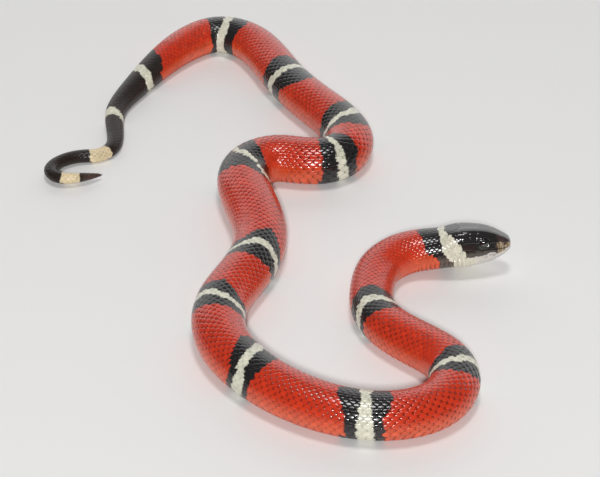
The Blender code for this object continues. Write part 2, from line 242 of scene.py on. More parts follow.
def turn_of(where, share):
    """The turn in degrees at a share of the way round, 0 on the crown and 1 under the belly."""
    row = np.interp(where, ROUND_AT, np.arange(len(ROUND_AT)))
    low = np.clip(row.astype(int), 0, len(ROUND_AT) - 2)
    column = np.clip(np.abs(share), 0, 1) * (len(ROUND_SHARES) - 1)
    near = np.clip(column.astype(int), 0, len(ROUND_SHARES) - 2)
    part_row, part_column = row - low, column - near
    table = ROUND_TURNS
    first = table[low, near] + part_column * (table[low, near + 1] - table[low, near])
    second = table[low + 1, near] + part_column * (table[low + 1, near + 1] - table[low + 1, near])
    return np.sign(share) * (first + part_row * (second - first))


# The markings: at seven turns from the right flank over the back to the left flank, where the
# black begins, where the pale ring begins, where it ends and where the black ends.
RING_TURNS = (-80.0, -50.0, -25.0, 0.0, 25.0, 50.0, 80.0)
RINGS = [
    [(38.2, 41.7, 43.7, 44.8), (37.9, 41.2, 43.1, 45.0), (37.4, 40.5, 42.3, 45.1),
     (36.4, 39.5, 41.4, 44.6), (36.6, 39.3, 41.0, 43.9), (37.6, 40.0, 41.7, 43.6),
     (38.8, 41.2, 42.5, 43.5)],
    [(60.6, 62.4, 64.2, 65.6), (60.1, 62.3, 63.7, 66.0), (60.0, 62.4, 63.8, 66.6),
     (59.9, 63.0, 64.5, 67.0), (60.7, 63.1, 64.6, 66.8), (61.6, 63.5, 65.0, 66.2),
     (62.2, 64.0, 66.0, 67.0)],
    [(82.2, 83.6, 86.0, 87.7), (82.3, 83.9, 85.8, 87.9), (81.0, 84.1, 85.9, 89.2),
     (80.5, 84.3, 86.0, 90.1), (80.8, 84.3, 86.5, 90.4), (82.0, 84.0, 86.4, 88.6),
     (82.4, 83.8, 86.2, 87.8)],
    [(104.4, 105.4, 107.6, 108.9), (104.4, 106.0, 107.9, 109.4), (104.1, 106.8, 108.5, 110.9),
     (104.0, 107.4, 109.1, 112.4), (103.9, 107.9, 110.1, 113.4), (105.0, 108.6, 111.0, 113.0),
     (106.2, 109.0, 111.4, 112.6)],
    [(124.2, 126.6, 128.2, 129.8), (124.2, 126.6, 127.9, 130.0), (123.8, 126.8, 128.2, 130.5),
     (123.4, 126.0, 127.7, 130.8), (122.8, 125.2, 126.5, 129.5), (122.2, 124.3, 125.8, 127.6),
     (121.8, 123.6, 125.6, 127.2)],
    [(139.2, 140.6, 142.4, 143.8), (139.5, 141.0, 142.4, 144.2), (139.8, 141.8, 143.1, 145.3),
     (140.1, 143.3, 145.0, 147.5), (140.0, 143.7, 145.2, 148.9), (140.0, 143.0, 144.4, 147.2),
     (140.3, 142.1, 143.6, 145.0)],
    [(170.6, 176.0, 177.2, 178.8), (170.2, 175.4, 176.4, 178.9), (169.8, 174.5, 175.5, 178.8),
     (169.5, 173.1, 174.8, 178.1), (167.8, 171.6, 173.2, 177.3), (165.8, 167.2, 169.2, 174.6),
     (164.4, 166.0, 168.2, 172.4)],
    [(190.9, 192.8, 194.4, 196.4), (190.9, 192.8, 194.2, 196.6), (190.9, 193.0, 194.1, 196.8),
     (190.9, 193.1, 194.2, 197.0), (190.9, 193.3, 194.4, 197.0), (191.0, 193.0, 194.2, 196.3),
     (191.0, 192.9, 194.2, 195.4)],
    [(201.0, 202.8, 204.6, 207.6), (201.2, 203.2, 204.9, 208.8), (201.8, 204.3, 205.8, 209.8),
     (201.6, 204.6, 206.4, 210.1), (201.8, 205.6, 207.6, 210.8), (202.8, 206.6, 208.6, 211.2),
     (203.4, 207.0, 209.2, 211.0)],
    [(225.4, 228.0, 230.0, 232.4), (223.6, 227.7, 229.4, 232.6), (222.4, 227.8, 229.5, 233.4),
     (222.0, 227.6, 229.3, 234.0), (222.3, 227.8, 229.5, 233.5), (223.6, 227.7, 229.6, 232.6),
     (225.4, 228.0, 230.2, 232.0)],
    [(249.5, 253.2, 258.2, 260.3), (249.5, 252.6, 256.4, 259.9), (249.4, 253.4, 255.2, 259.0),
     (249.5, 253.5, 255.4, 258.7), (250.2, 253.8, 255.3, 258.7), (250.6, 253.6, 255.8, 258.8),
     (250.8, 253.2, 256.4, 259.0)],
    [(278.8, 281.9, 284.0, 999.0), (277.0, 281.2, 283.5, 999.0), (275.6, 280.6, 283.2, 999.0),
     (274.9, 280.0, 282.6, 999.0), (273.9, 279.5, 282.2, 999.0), (273.0, 278.8, 281.4, 999.0),
     (272.4, 278.4, 281.0, 999.0)],
    [(285.0, 297.4, 299.4, 999.0), (285.0, 296.9, 299.1, 999.0), (285.0, 296.1, 298.4, 999.0),
     (285.0, 295.3, 298.0, 999.0), (285.0, 295.1, 297.8, 999.0), (285.0, 295.1, 297.6, 999.0),
     (285.0, 295.0, 297.4, 999.0)],
    [(300.0, 310.0, 313.9, 999.0)] * 7,
    [(317.0, 328.2, 331.7, 999.0)] * 7,
]
SCARLET = (0.60, 0.034, 0.008)
# The lower flanks' paler orange red: partly their own colour and partly painted light bounced up from the floor.
FLANK_RED_AND_BOUNCE = (0.74, 0.095, 0.024)
INK = (0.013, 0.011, 0.011)
CREAM = (0.74, 0.72, 0.58)
TAIL_CREAM = (0.80, 0.66, 0.42)
# The collar behind the head: its front and rear edge at turns from the crown.
COLLAR_TURNS = (0.0, 15.0, 30.0, 45.0, 60.0, 75.0, 90.0, 104.0, 107.0, 180.0)
COLLAR_FRONT = (12.0, 12.1, 11.4, 10.4, 9.8, 9.2, 8.9, 8.5, 0.0, 0.0)
COLLAR_REAR = (13.3, 13.2, 13.0, 12.9, 12.7, 12.6, 12.2, 11.6, 11.3, 11.2)
NECK_BLACK_REAR = (17.3, 16.9, 16.3, 16.2, 16.2, 15.6, 14.1, 13.6, 13.5, 13.5)


def ring_edges(ring, turn):
    """The four edges of a ring at each turn, meeting under the belly at their mean."""
    turns = (-180.0,) + RING_TURNS + (180.0,)
    edges = []
    for k in range(4):
        row = [place[k] for place in ring]
        below = (row[0] + row[-1]) / 2
        edges.append(np.interp(turn, turns, [below] + row + [below]))
    return edges


def marking(where, turn):
    """The kind of colour at each place: 0 scarlet, 1 black, 2 pale."""
    kind = np.zeros(np.shape(where), int)
    for ring in RINGS:
        edges = ring_edges(ring, turn)
        kind[(where > edges[0]) & (where < edges[3])] = 1
    for ring in RINGS:
        edges = ring_edges(ring, turn)
        kind[(where > edges[1]) & (where < edges[2])] = 2
    away = np.abs(turn)
    collar_front = np.interp(away, COLLAR_TURNS, COLLAR_FRONT)
    collar_rear = np.interp(away, COLLAR_TURNS, COLLAR_REAR)
    kind[where < np.interp(away, COLLAR_TURNS, NECK_BLACK_REAR)] = 1
    kind[(where > collar_front) & (where < collar_rear)] = 2
    return kind


def marking_colour(where, turn):
    """The colour of the markings as red, green and blue."""
    kind = marking(where, turn)
    # Towards the belly the red turns to the paler flank red, which holds painted floor-bounce light.
    low = ease((np.abs(turn) - 55) / 50)[..., None]
    red = np.array(SCARLET) * (1 - low) + np.array(FLANK_RED_AND_BOUNCE) * low
    tail = ease((where - 299) / 8)[..., None]
    pale = np.array(CREAM) * (1 - tail) + np.array(TAIL_CREAM) * tail
    faded = 0.9 * (ease((np.abs(turn) - 88) / 16) * ease((18 - where) / 2))[..., None]
    black = np.array(INK) * (1 - faded) + np.array((0.12, 0.085, 0.065)) * faded
    brown = ease((where - 270) / 12)[..., None]
    black = black * (1 - brown) + np.array((0.022, 0.014, 0.011)) * brown
    tip = ease((where - 331.5) / 2)[..., None]
    black = black * (1 - tip) + np.array((0.075, 0.045, 0.035)) * tip
    colour = np.where((kind == 0)[..., None], red, black)
    return np.where((kind == 2)[..., None], pale, colour)


# The seams between the shields on the right half of the head, as distance and turn.
SEAMS = [
    [(0.55, 0), (3.2, 0)], [(6.3, 0), (9.2, 0)],
    [(0.55, 0), (0.6, 25), (0.8, 45), (0.62, 62), (0.5, 85), (0.55, 97)],
    [(0.8, 45), (1.1, 45), (1.4, 42)], [(1.5, 0), (1.5, 20), (1.4, 42)],
    [(1.4, 42), (2.2, 48), (3.1, 50), (3.5, 47), (3.5, 38)],
    [(3.2, 0), (3.3, 5), (3.45, 11)], [(3.45, 11), (3.4, 25), (3.5, 38)],
    [(3.45, 11), (4.5, 9.5), (5.6, 7.5)], [(5.6, 7.5), (6.3, 0)],
    [(5.6, 7.5), (5.9, 20), (6.0, 34)],
    [(3.5, 38), (3.9, 47), (4.7, 52), (5.5, 48), (6.0, 38), (6.0, 34)],
    [(6.0, 34), (6.6, 31), (7.8, 37), (8.7, 33), (9.2, 20), (9.3, 8), (9.2, 0)],
    [(1.75, 45), (1.8, 60), (1.75, 80)], [(0.98, 46), (1.0, 62), (1.05, 80)],
    [(2.75, 50), (2.8, 62), (2.75, 77)],
    [(0.9, 84), (1.75, 80), (2.75, 77), (3.6, 79), (3.95, 82)],
    [(5.5, 82), (6.0, 77), (7.2, 74), (8.4, 74), (9.0, 78)],
    [(6.0, 38), (6.25, 50), (6.3, 62), (6.1, 77)], [(5.6, 64), (6.3, 60)],
    [(6.3, 58), (7.5, 56)], [(7.5, 36), (7.55, 56), (7.3, 74)],
    [(7.52, 50), (8.75, 50)], [(7.5, 62), (8.8, 62)], [(8.7, 33), (8.9, 50), (8.95, 62), (9.0, 78)],
]
SEAMS += [[(s, top), (s + 0.1, 91)] for s, top in
          ((1.2, 82), (2.0, 79), (2.85, 77), (3.8, 81), (5.0, 84), (6.3, 76), (7.6, 74), (8.9, 77))]
SEAMS += [[(s, 90), (s + 0.15, 105)] for s in (1.3, 2.1, 3.0, 4.1, 5.3, 6.6, 7.9)]
SEAMS += [
    [(0.9, 106), (2.0, 108), (4.0, 106), (6.0, 106), (8.6, 103)], [(0.55, 97), (0.9, 106), (1.0, 140)],
    [(1.0, 140), (1.2, 180)], [(1.0, 140), (2.0, 130), (4.0, 132)], [(1.2, 180), (6.0, 180)],
    [(4.0, 132), (4.0, 180)], [(4.0, 132), (5.0, 142), (6.0, 155)], [(6.0, 155), (6.0, 180)],
]
MOUTH = [(0.5, 98), (1.2, 96), (2.2, 93), (3.2, 91), (5.0, 90), (7.0, 90), (9.0, 88)]


def fine_line(points, step=0.05):
    """A line through the points, as closely spaced places on the smooth form."""
    points = np.array(points, float)
    spots = on_form(points[:, 0], points[:, 1])
    run = distances(spots)
    where = np.arange(0, run[-1] + step, step)
    places = np.stack([np.interp(where, run, points[:, k]) for k in range(2)], -1)
    return on_form(places[:, 0], places[:, 1])


def distance_to(points, lines):
    """How far each point is from the nearest of the lines, in millimetres."""
    spots = np.concatenate([fine_line(line) for line in lines])
    tree = KDTree(len(spots))
    for i, spot in enumerate(spots):
        tree.insert(spot, i)
    tree.balance()
    return np.array([tree.find(point)[2] for point in points])


def new_piece(name, points, corners, sizes):
    """A mesh object from points in metres and faces given as one long row of corners."""
    mesh = bpy.data.meshes.new(name)
    mesh.vertices.add(len(points))
    mesh.vertices.foreach_set("co", np.asarray(points, np.float32).ravel())
    mesh.loops.add(len(corners))
    mesh.loops.foreach_set("vertex_index", np.asarray(corners, np.int32))
    mesh.polygons.add(len(sizes))
    starts = np.concatenate([[0], np.cumsum(sizes)[:-1]]).astype(np.int32)
    mesh.polygons.foreach_set("loop_start", starts)
    mesh.update(calc_edges=True)
    mesh.validate()
    mesh.shade_smooth()
    piece = bpy.data.objects.new(name, mesh)
    bpy.context.scene.collection.objects.link(piece)
    return piece


def add_colour(piece, name, colours):
    """A colour for each point of the mesh."""
    layer = piece.data.color_attributes.new(name=name, type="FLOAT_COLOR", domain="POINT")
    rows = np.ones((len(colours), 4), np.float32)
    rows[:, :3] = colours
    layer.data.foreach_set("color", rows.ravel())


def ring_plan():
    """Where the skin's rings stand and how many points each has."""
    tip = 0.12 * (1 - np.cos(np.linspace(0.35, math.pi / 2, 5)))
    near = np.arange(0.16, 1.6, 0.05)
    head = np.arange(1.6, 13.4, 0.09)
    plan = [(s, 320) for s in np.concatenate([tip, near, head])]
    plan += [(s, 160) for s in np.arange(13.6, 14.6, 0.3)]
    plan += [(s, 80) for s in np.arange(15.0, TAIL_END - 1.0, 0.57)]
    plan += [(s, 80) for s in TAIL_END - np.array([0.8, 0.55, 0.35, 0.2, 0.1, 0.04])]
    return plan


def lay_skin():
    """The whole skin as one closed mesh, with the distance and turn of each point."""
    plan = ring_plan()
    where = np.concatenate([np.full(count, s) for s, count in plan])
    share = np.concatenate([-1 + 2 * np.arange(count) / count for _, count in plan])
    turn = turn_of(where, share)
    starts = np.concatenate([[0], np.cumsum([count for _, count in plan])])
    corners, sizes = [], []
    for (_, count), (_, after), first, second in zip(plan, plan[1:], starts, starts[1:]):
        k = np.arange(count)
        if count == after:
            faces = np.stack([first + k, first + (k + 1) % count, second + (k + 1) % count, second + k], -1)
            corners.append(faces.ravel())
            sizes += [4] * count
            continue
        k = np.arange(after)
        a, b, c = first + 2 * k, first + 2 * k + 1, first + (2 * k + 2) % count
        d, e = second + k, second + (k + 1) % after
        corners.append(np.stack([a, b, d, b, e, d, b, c, e], -1).ravel())
        sizes += [3] * (3 * after)
    snout, tip = starts[-1], starts[-1] + 1
    k = np.arange(320)
    corners.append(np.stack([(k + 1) % 320, k, k * 0 + snout], -1).ravel())
    k = np.arange(80)
    last = starts[-2]
    corners.append(np.stack([last + k, last + (k + 1) % 80, k * 0 + tip], -1).ravel())
    sizes += [3] * 400
    where = np.concatenate([where, [0.0, TAIL_END]])
    turn = np.concatenate([turn, [0.0, 0.0]])
    return where, turn, np.concatenate(corners), sizes


def mirrored(line):
    """The same line on the other half of the head."""
    return [(s, -turn) for s, turn in line]


def skin_depth(where):
    """How far the soft skin lies under the smooth form, to leave room for the scales."""
    return 0.12 * ease((where - 8.6) / 1.6) * np.clip(half_width(where) / 3.5, 0.2, 1)


def shape_skin(where, turn):
    """The skin's points in metres and its colours, with the head's shields worked in."""
    height = -skin_depth(where)
    # Between the scales the skin is a third as bright as the markings: partly its own darker tone, partly painted
    # shade in the gaps under the scales.
    colour = marking_colour(where, turn) * 0.35
    head = np.flatnonzero(where < 10.5)
    on_head = on_form(where[head], turn[head])
    away = np.abs(turn[head])
    s = where[head]
    both = [line for seam in SEAMS for line in (seam, mirrored(seam))]
    seam = distance_to(on_head, both)
    mouth = distance_to(on_head, [MOUTH, mirrored(MOUTH)])
    shields = ease((9.8 - s) / 0.8)
    relief = 0.016 * (1 - np.exp(-(seam / 0.18)**2)) - 0.035 * np.exp(-(seam / 0.05)**2)
    relief = shields * relief - 0.20 * np.exp(-(mouth / 0.08)**2)
    nostril = on_form(np.array([1.0, 1.0]), np.array([78.0, -78.0]))
    hole = np.min([np.linalg.norm(on_head - spot, axis=1) for spot in nostril], axis=0)
    relief -= 0.3 * np.exp(-(hole / 0.2)**4)
    eyes = eye_distance(on_head)
    relief += 0.03 * np.exp(-((eyes - 1.02) / 0.10)**2)
    height[head] += relief
    colour[head] = head_colour(s, turn[head], seam, mouth, hole, eyes) * shields[:, None] + colour[head] * (
        1 - shields[:, None])
    points = on_form(where, turn) + outward(where, turn) * height[:, None]
    points[head] = open_sockets(points[head])
    return points * MM, colour


def open_sockets(points):
    """Presses the skin in behind each eyeball, with a soft rim that follows the ball."""
    for centre, look in eye_places():
        off = points - centre
        along = off @ look
        across = np.linalg.norm(off - along[:, None] * look, axis=1)
        floor_at = np.sqrt(np.maximum(EYE_RADIUS**2 - across**2, 0)) - 0.10
        share = np.where(along > 0.3, ease((0.99 - across) / 0.20), 0.0)
        points = points + (share * (np.minimum(floor_at, along) - along))[:, None] * look
    return points


def eye_places():
    """The middle of each eyeball and the direction that it looks, left and then right."""
    where, side, level = EYE_AT
    spine, left, up = (
        np.array([np.interp(where, SPINE_AT, table[:, k]) for k in range(3)])
        for table in (SPINE, SPINE_LEFT, SPINE_UP)
    )
    lean = 0.14 * up + 0.21 * np.cross(left, up)
    return [
        (spine + s * side * left + level * up, unit(s * left + lean))
        for s in (1, -1)
    ]


def eye_distance(points):
    """How far each point lies from the nearer eye's line of sight, on that side only."""
    best = np.full(len(points), 99.0)
    for centre, look in eye_places():
        off = points - centre
        along = off @ look
        across = np.linalg.norm(off - along[:, None] * look, axis=1)
        best = np.where(along > 0.3, np.minimum(best, across), best)
    return best


def mottle(s, turn, size):
    """Soft irregular patches between -1 and 1 over the head."""
    a, b = s / size, np.radians(turn) * 3.4 / size
    waves = np.sin(2.1 * a + 1.3 * np.sin(1.7 * b)) + np.sin(1.9 * b + 1.1 * np.sin(2.3 * a + 0.7))
    return 0.5 * waves + 0.35 * np.sin(4.3 * a - 3.1 * b + 0.4)


def head_colour(s, turn, seam, mouth, hole, eyes):
    """The colours of the head: a black cap, a brown snout, pale lips and a white chin, with painted shade in the
    nostrils and round the eyes.
    """
    away = np.abs(turn)
    cap = np.array(INK) * 1.3
    tone = np.repeat(cap[None, :], len(s), axis=0)
    patch = mottle(s, turn, 0.55)

    def blend(target, share):
        nonlocal tone
        tone = tone + share[:, None] * (np.array(target) - tone)

    blend((0.030, 0.013, 0.008), 0.8 * ease((away - 76) / 8) * ease((s - 5.8) / 1.5))
    blend((0.060, 0.034, 0.034), ease((3.0 - s + 0.3 * patch) / 1.3) * ease((away - 12) / 25))
    upper = 66 + 14 * ease((s - 1.8) / 0.9)
    tan = ease((2.9 - s + 0.3 * patch) / 0.6) * ease((away - upper + 5 * patch) / 8)
    blend((0.46, 0.34, 0.20), 0.92 * tan)
    blend((0.64, 0.56, 0.42), 0.8 * tan * np.exp(-((s - 1.65 + 0.1 * patch) / 0.22)**2))
    for at, lean in ((0.62, 0.0), (1.28, 0.004), (1.62, 0.010), (2.12, -0.004), (2.58, 0.006)):
        off = s - at - lean * (away - 88) - 0.07 * patch
        streak = np.exp(-(off / 0.10)**2) * ease((away - 60) / 12) * ease((112 - away) / 8)
        blend((0.085, 0.040, 0.018), 0.85 * tan * streak)
    band = ease((away - 89.5) / 2.5) * ease((s - 2.55 + 0.3 * patch) / 0.5)
    blend((0.082, 0.068, 0.052), band * (0.94 + 0.06 * patch))
    blend((0.045, 0.030, 0.022), 0.6 * band * ease((3.9 - s) / 1.2))
    under_eye = ease((away - 79) / 4) * ease((s - 4.0) / 0.5) * ease((6.2 - s) / 0.6)
    blend((0.055, 0.056, 0.050), under_eye * ease((90 - away) / 3))
    chin = np.array((0.66, 0.62, 0.58))
    cream = np.array(CREAM)
    pale = chin + ease((s - 4.5) / 4.5)[:, None] * (cream - chin)
    edge = np.interp(s, (0.0, 0.9, 1.2, 2.7, 3.1, 3.9, 4.8), (96.0, 96.0, 111.0, 111.0, 99.0, 99.0, 103.5))
    edge = edge + 1.3 * np.sin(4.4 * s) + 1.5 * patch
    blend(pale, np.maximum(ease((away - edge) / 2), ease((s - 8.35 - 0.1 * patch) / 0.2) * ease((away - 88) / 2)))
    for at, level, size in ((4.7, 111, 0.25), (3.2, 112, 0.3), (2.5, 104, 0.22), (1.7, 102, 0.18), (3.9, 108, 0.14)):
        off = np.hypot(s - at, np.radians(away - level) * 3.2)
        blend((0.10, 0.08, 0.07), 0.75 * np.exp(-(off / size)**2) * (1 + 0.5 * patch).clip(0, 1.3))
    blend(cream, np.where(marking(s, turn) == 2, 1.0, 0.0) * ease((s - 7.5) / 0.5))
    blend(cap * 0.5, 0.75 * np.exp(-(seam / 0.06)**2) * np.where(away > 100, 0.22, 1.0))
    blend((0.05, 0.03, 0.022), 0.9 * np.exp(-((hole - 0.24) / 0.08)**2))
    blend(cap * 0.3, np.exp(-(mouth / 0.075)**2))
    # Painted shade inside each nostril.
    blend(cap * 0.2, np.exp(-(hole / 0.17)**4))
    # Painted shade on the skin pressed in round each eyeball.
    blend(cap * 0.4, ease((0.94 - eyes) / 0.08))
    return tone


def keratin_group():
    """A node group for horny skin: blotchy colour, uneven gloss and a fine speckled bump."""
    group = bpy.data.node_groups.new("snake_keratin", "ShaderNodeTree")
    face = group.interface
    face.new_socket(name="Colour", in_out="INPUT", socket_type="NodeSocketColor")
    face.new_socket(name="Blotch", in_out="INPUT", socket_type="NodeSocketFloat")
    face.new_socket(name="Gloss", in_out="INPUT", socket_type="NodeSocketFloat")
    face.new_socket(name="Colour", in_out="OUTPUT", socket_type="NodeSocketColor")
    face.new_socket(name="Roughness", in_out="OUTPUT", socket_type="NodeSocketFloat")
    face.new_socket(name="Height", in_out="OUTPUT", socket_type="NodeSocketFloat")
    nodes, links = group.nodes, group.links
    inward = nodes.new("NodeGroupInput")
    out = nodes.new("NodeGroupOutput")
    place = nodes.new("ShaderNodeTexCoord")
    blotch = nodes.new("ShaderNodeTexNoise")
    blotch.inputs["Scale"].default_value = 900.0
    blotch.inputs["Detail"].default_value = 4.0
    links.new(place.outputs["Object"], blotch.inputs["Vector"])
    speck = nodes.new("ShaderNodeTexNoise")
    speck.inputs["Scale"].default_value = 5200.0
    speck.inputs["Detail"].default_value = 2.0
    links.new(place.outputs["Object"], speck.inputs["Vector"])
    spread = nodes.new("ShaderNodeMath")
    spread.operation = "SUBTRACT"
    links.new(blotch.outputs["Fac"], spread.inputs[0])
    spread.inputs[1].default_value = 0.5
    amount = nodes.new("ShaderNodeMath")
    amount.operation = "MULTIPLY_ADD"
    links.new(spread.outputs[0], amount.inputs[0])
    links.new(inward.outputs["Blotch"], amount.inputs[1])
    amount.inputs[2].default_value = 1.0
    tinted = nodes.new("ShaderNodeVectorMath")
    tinted.operation = "SCALE"
    links.new(inward.outputs["Colour"], tinted.inputs[0])
    links.new(amount.outputs[0], tinted.inputs["Scale"])
    links.new(tinted.outputs["Vector"], out.inputs["Colour"])
    rough = nodes.new("ShaderNodeMath")
    rough.operation = "MULTIPLY_ADD"
    links.new(speck.outputs["Fac"], rough.inputs[0])
    rough.inputs[1].default_value = 0.12
    links.new(inward.outputs["Gloss"], rough.inputs[2])
    links.new(rough.outputs[0], out.inputs["Roughness"])
    links.new(speck.outputs["Fac"], out.inputs["Height"])
    return group


KERATIN = keratin_group()


def horn_material(name, blotch, gloss, coat, bump):
    """Glossy horn over skin, coloured by the piece's own markings."""
    material = bpy.data.materials.new(name)
    material.use_nodes = True
    nodes, links = material.node_tree.nodes, material.node_tree.links
    shader = nodes["Principled BSDF"]
    colour = nodes.new("ShaderNodeAttribute")
    colour.attribute_name = "marking"
    keratin = nodes.new("ShaderNodeGroup")
    keratin.node_tree = KERATIN
    keratin.inputs["Blotch"].default_value = blotch
    keratin.inputs["Gloss"].default_value = gloss
    links.new(colour.outputs["Color"], keratin.inputs["Colour"])
    links.new(keratin.outputs["Colour"], shader.inputs["Base Color"])
    links.new(keratin.outputs["Roughness"], shader.inputs["Roughness"])
    relief = nodes.new("ShaderNodeBump")
    relief.inputs["Strength"].default_value = bump
    relief.inputs["Distance"].default_value = 0.00002
    links.new(keratin.outputs["Height"], relief.inputs["Height"])
    links.new(relief.outputs["Normal"], shader.inputs["Normal"])
    shader.inputs["Coat Weight"].default_value = coat
    shader.inputs["Coat Roughness"].default_value = 0.08
    shader.inputs["IOR"].default_value = 1.5
    return material


skin_where, skin_turn, skin_corners, skin_sizes = lay_skin()
skin_points, skin_colours = shape_skin(skin_where, skin_turn)
skin = new_piece("skin", skin_points, skin_corners, skin_sizes)
add_colour(skin, "marking", skin_colours)
skin.data.materials.append(horn_material("head_shields_and_skin", 0.5, 0.10, 0.5, 0.12))
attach(skin, "root")
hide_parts(*[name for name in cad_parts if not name.startswith("eye")])

# ---------------------------------------------------------------------------------------
# The scales. Smooth horn plates in twenty-three rows over the back and flanks, each with its
# rear end lying over the next two, so that they shed like tiles. They get fewer rows and
# smaller plates towards the tail. One plate is modelled and copied along the rows.
PITCH = [
    (8.0, 0.75), (13.8, 0.9), (18.0, 1.1), (36.0, 1.17), (50.0, 1.25), (75.0, 1.31),
    (115.0, 1.27), (155.0, 1.27), (175.0, 1.34), (200.0, 1.36), (250.0, 1.28), (284.0, 1.15),
    (300.0, 1.05), (318.0, 1.0), (333.0, 0.9),
]
COAT_SHARE = 0.6335
# Rows that end before the tail's tip: the row's number from the middle of the back, and where.
ROW_ENDS = [(7, 215.0), (6, 258.0), (8, 278.0), (5, 286.0), (9, 294.0), (4, 303.0), (3, 314.0),
            (10, 325.0), (2, 331.5)]
SCALE_OUTLINE = [
    (0.60, 0.0), (0.53, 0.24), (0.36, 0.48), (0.12, 0.68), (-0.15, 0.72), (-0.42, 0.5),
    (-0.54, 0.22), (-0.57, 0.0),
]


def model_scale():
    """One plate: a rounded lozenge, crowned, with a thin skirt and a closed underside."""
    bpy.ops.object.select_all(action="DESELECT")
    bpy.ops.mesh.primitive_circle_add(vertices=14, radius=0.6, fill_type="NGON")
    plate = bpy.context.object
    ring = SCALE_OUTLINE + [(x, -y) for x, y in reversed(SCALE_OUTLINE[1:-1])]
    for vertex, (x, y) in zip(plate.data.vertices, ring):
        vertex.co = (x, y, 0.0)
    bpy.ops.object.mode_set(mode="EDIT")
    bpy.ops.mesh.select_all(action="SELECT")
    bpy.ops.mesh.inset(thickness=0.06)
    bpy.ops.transform.translate(value=(0, 0, 0.028))
    bpy.ops.mesh.inset(thickness=0.13)
    bpy.ops.transform.translate(value=(0, 0, 0.022))
    bpy.ops.mesh.inset(thickness=0.15)
    bpy.ops.transform.translate(value=(0, 0, 0.010))
    bpy.ops.mesh.poke(offset=0.004)
    bpy.ops.mesh.select_all(action="DESELECT")
    bpy.ops.mesh.select_mode(type="EDGE")
    bpy.ops.mesh.select_non_manifold()
    bpy.ops.mesh.extrude_edges_move(TRANSFORM_OT_translate={"value": (0, 0, -0.045)})
    bpy.ops.transform.resize(value=(0.93, 0.93, 1))
    bpy.ops.mesh.edge_face_add()
    bpy.ops.mesh.select_all(action="SELECT")
    bpy.ops.mesh.normals_make_consistent(inside=False)
    bpy.ops.object.mode_set(mode="OBJECT")
    return plate


def take_pattern(pattern):
    """The points and faces of a modelled plate, which is then put away."""
    mesh = pattern.data
    points = np.array([vertex.co[:] for vertex in mesh.vertices])
    corners = np.concatenate([list(face.vertices) for face in mesh.polygons])
    sizes = np.array([len(face.vertices) for face in mesh.polygons])
    bpy.data.objects.remove(pattern, do_unlink=True)
    return points, corners, sizes


def row_weights(where):
    """How wide each of the rows on one side is there, the middle row first, and the slips."""
    number = np.arange(12)
    weight = np.where(number < 9, 1.0, 1.0 + 0.07 * (number - 8))[:, None] * np.ones(len(where))
    slip = np.zeros_like(weight)
    for row, end in ROW_ENDS:
        weight[row] *= ease((end + 2.0 - where) / 5.0)
        slip[row + 1:] += 0.5 * ease((where - end + 4.0) / 8.0)
    return weight, slip


def scale_places():
    """Every plate on the back and flanks: distance, share round, row share, pitch."""
    where = np.arange(8.4, TAIL_END - 0.6, 0.02)
    marks, sizes = zip(*PITCH)
    count = np.cumsum(0.02 / np.interp(where, marks, sizes))
    weight, slip = row_weights(where)
    total = weight[0] / 2 + weight[1:].sum(axis=0)
    below = np.concatenate([np.zeros((1, len(where))), weight[0] / 2 + np.cumsum(weight[1:], axis=0) - weight[1:] / 2])
    share = COAT_SHARE * below / total
    width = COAT_SHARE * weight / total
    found = []
    for row in range(12):
        phase = count + 0.5 * (row % 2) + slip[row]
        ends = [end for number, end in ROW_ENDS if number == row]
        steps = np.flatnonzero(np.diff(np.floor(phase)) > 0)
        for i in steps:
            if ends and where[i] > ends[0]:
                continue
            size = np.interp(where[i], marks, sizes)
            for side in ((1,) if row == 0 else (1, -1)):
                found.append((where[i], side * share[row, i], width[row, i], size))
    return np.array(sorted(found))


def covered_by_shields(where, turn):
    """Whether a place is still under the head's large shields."""
    away = np.abs(turn)
    edge = np.interp(away, (0, 8, 20, 33, 50, 78, 90, 103, 104, 180), (9.5, 9.6, 9.5, 9.1, 9.3, 9.4, 9.4, 9.2, 6.4, 6.4))
    return where < edge


def copy_plates(name, pattern, places, heights, thickness, seed):
    """Lays a copy of the pattern at every place, following the form, as one mesh."""
    points, corners, sizes = pattern
    random = np.random.default_rng(seed)
    count = len(places)
    where, share, width, pitch = (column[:, None] for column in places.T)
    turn = turn_of(where, share)
    stretch = np.linalg.norm(on_form(where + 0.2, turn) - on_form(where - 0.2, turn), axis=-1) / 0.4
    length = pitch * np.clip(stretch, 0.3, 3)**-0.35
    jitter = random.normal(0, 1, (count, 3))
    size = 1 + 0.02 * jitter[:, :1]
    x = points[:, 0] * length * size
    y = points[:, 1] * width * size
    at_where = np.clip(where + x, 0.3, TAIL_END - 0.02)
    at_share = np.clip(share + y, -1, 1)
    at_turn = turn_of(at_where, at_share)
    grow = pitch / 1.33
    tilt = heights[0] + heights[1] * (points[:, 0] + 0.57)
    height = (points[:, 2] * thickness + tilt) * grow - skin_depth(at_where)
    height = height + 0.006 * jitter[:, 1:2] * points[:, 0]
    placed = (on_form(at_where, at_turn) + outward(at_where, at_turn) * height[..., None]) * MM
    offsets = (np.arange(count) * len(points))[:, None]
    piece = new_piece(name, placed.reshape(-1, 3), (corners + offsets).ravel(), np.tile(sizes, count))
    return piece, where, share, jitter


def bake_map(piece, pattern, where, share, start, end):
    """A small patch for each plate, at its place on an unwrap of the snake's own shape."""
    points, corners, _ = pattern
    layer = piece.data.uv_layers.new(name="OFBake")
    root = np.stack([
        0.01 + 0.98 * (where[:, 0] - start) / (end - start), 0.5 + 0.49 * share[:, 0]
    ], -1)
    spread = points[:, :2] / np.abs(points[:, :2]).max() * 0.0015
    rows = root[:, None, :] + spread[corners][None]
    layer.data.foreach_set("uv", rows.reshape(-1).astype(np.float32))


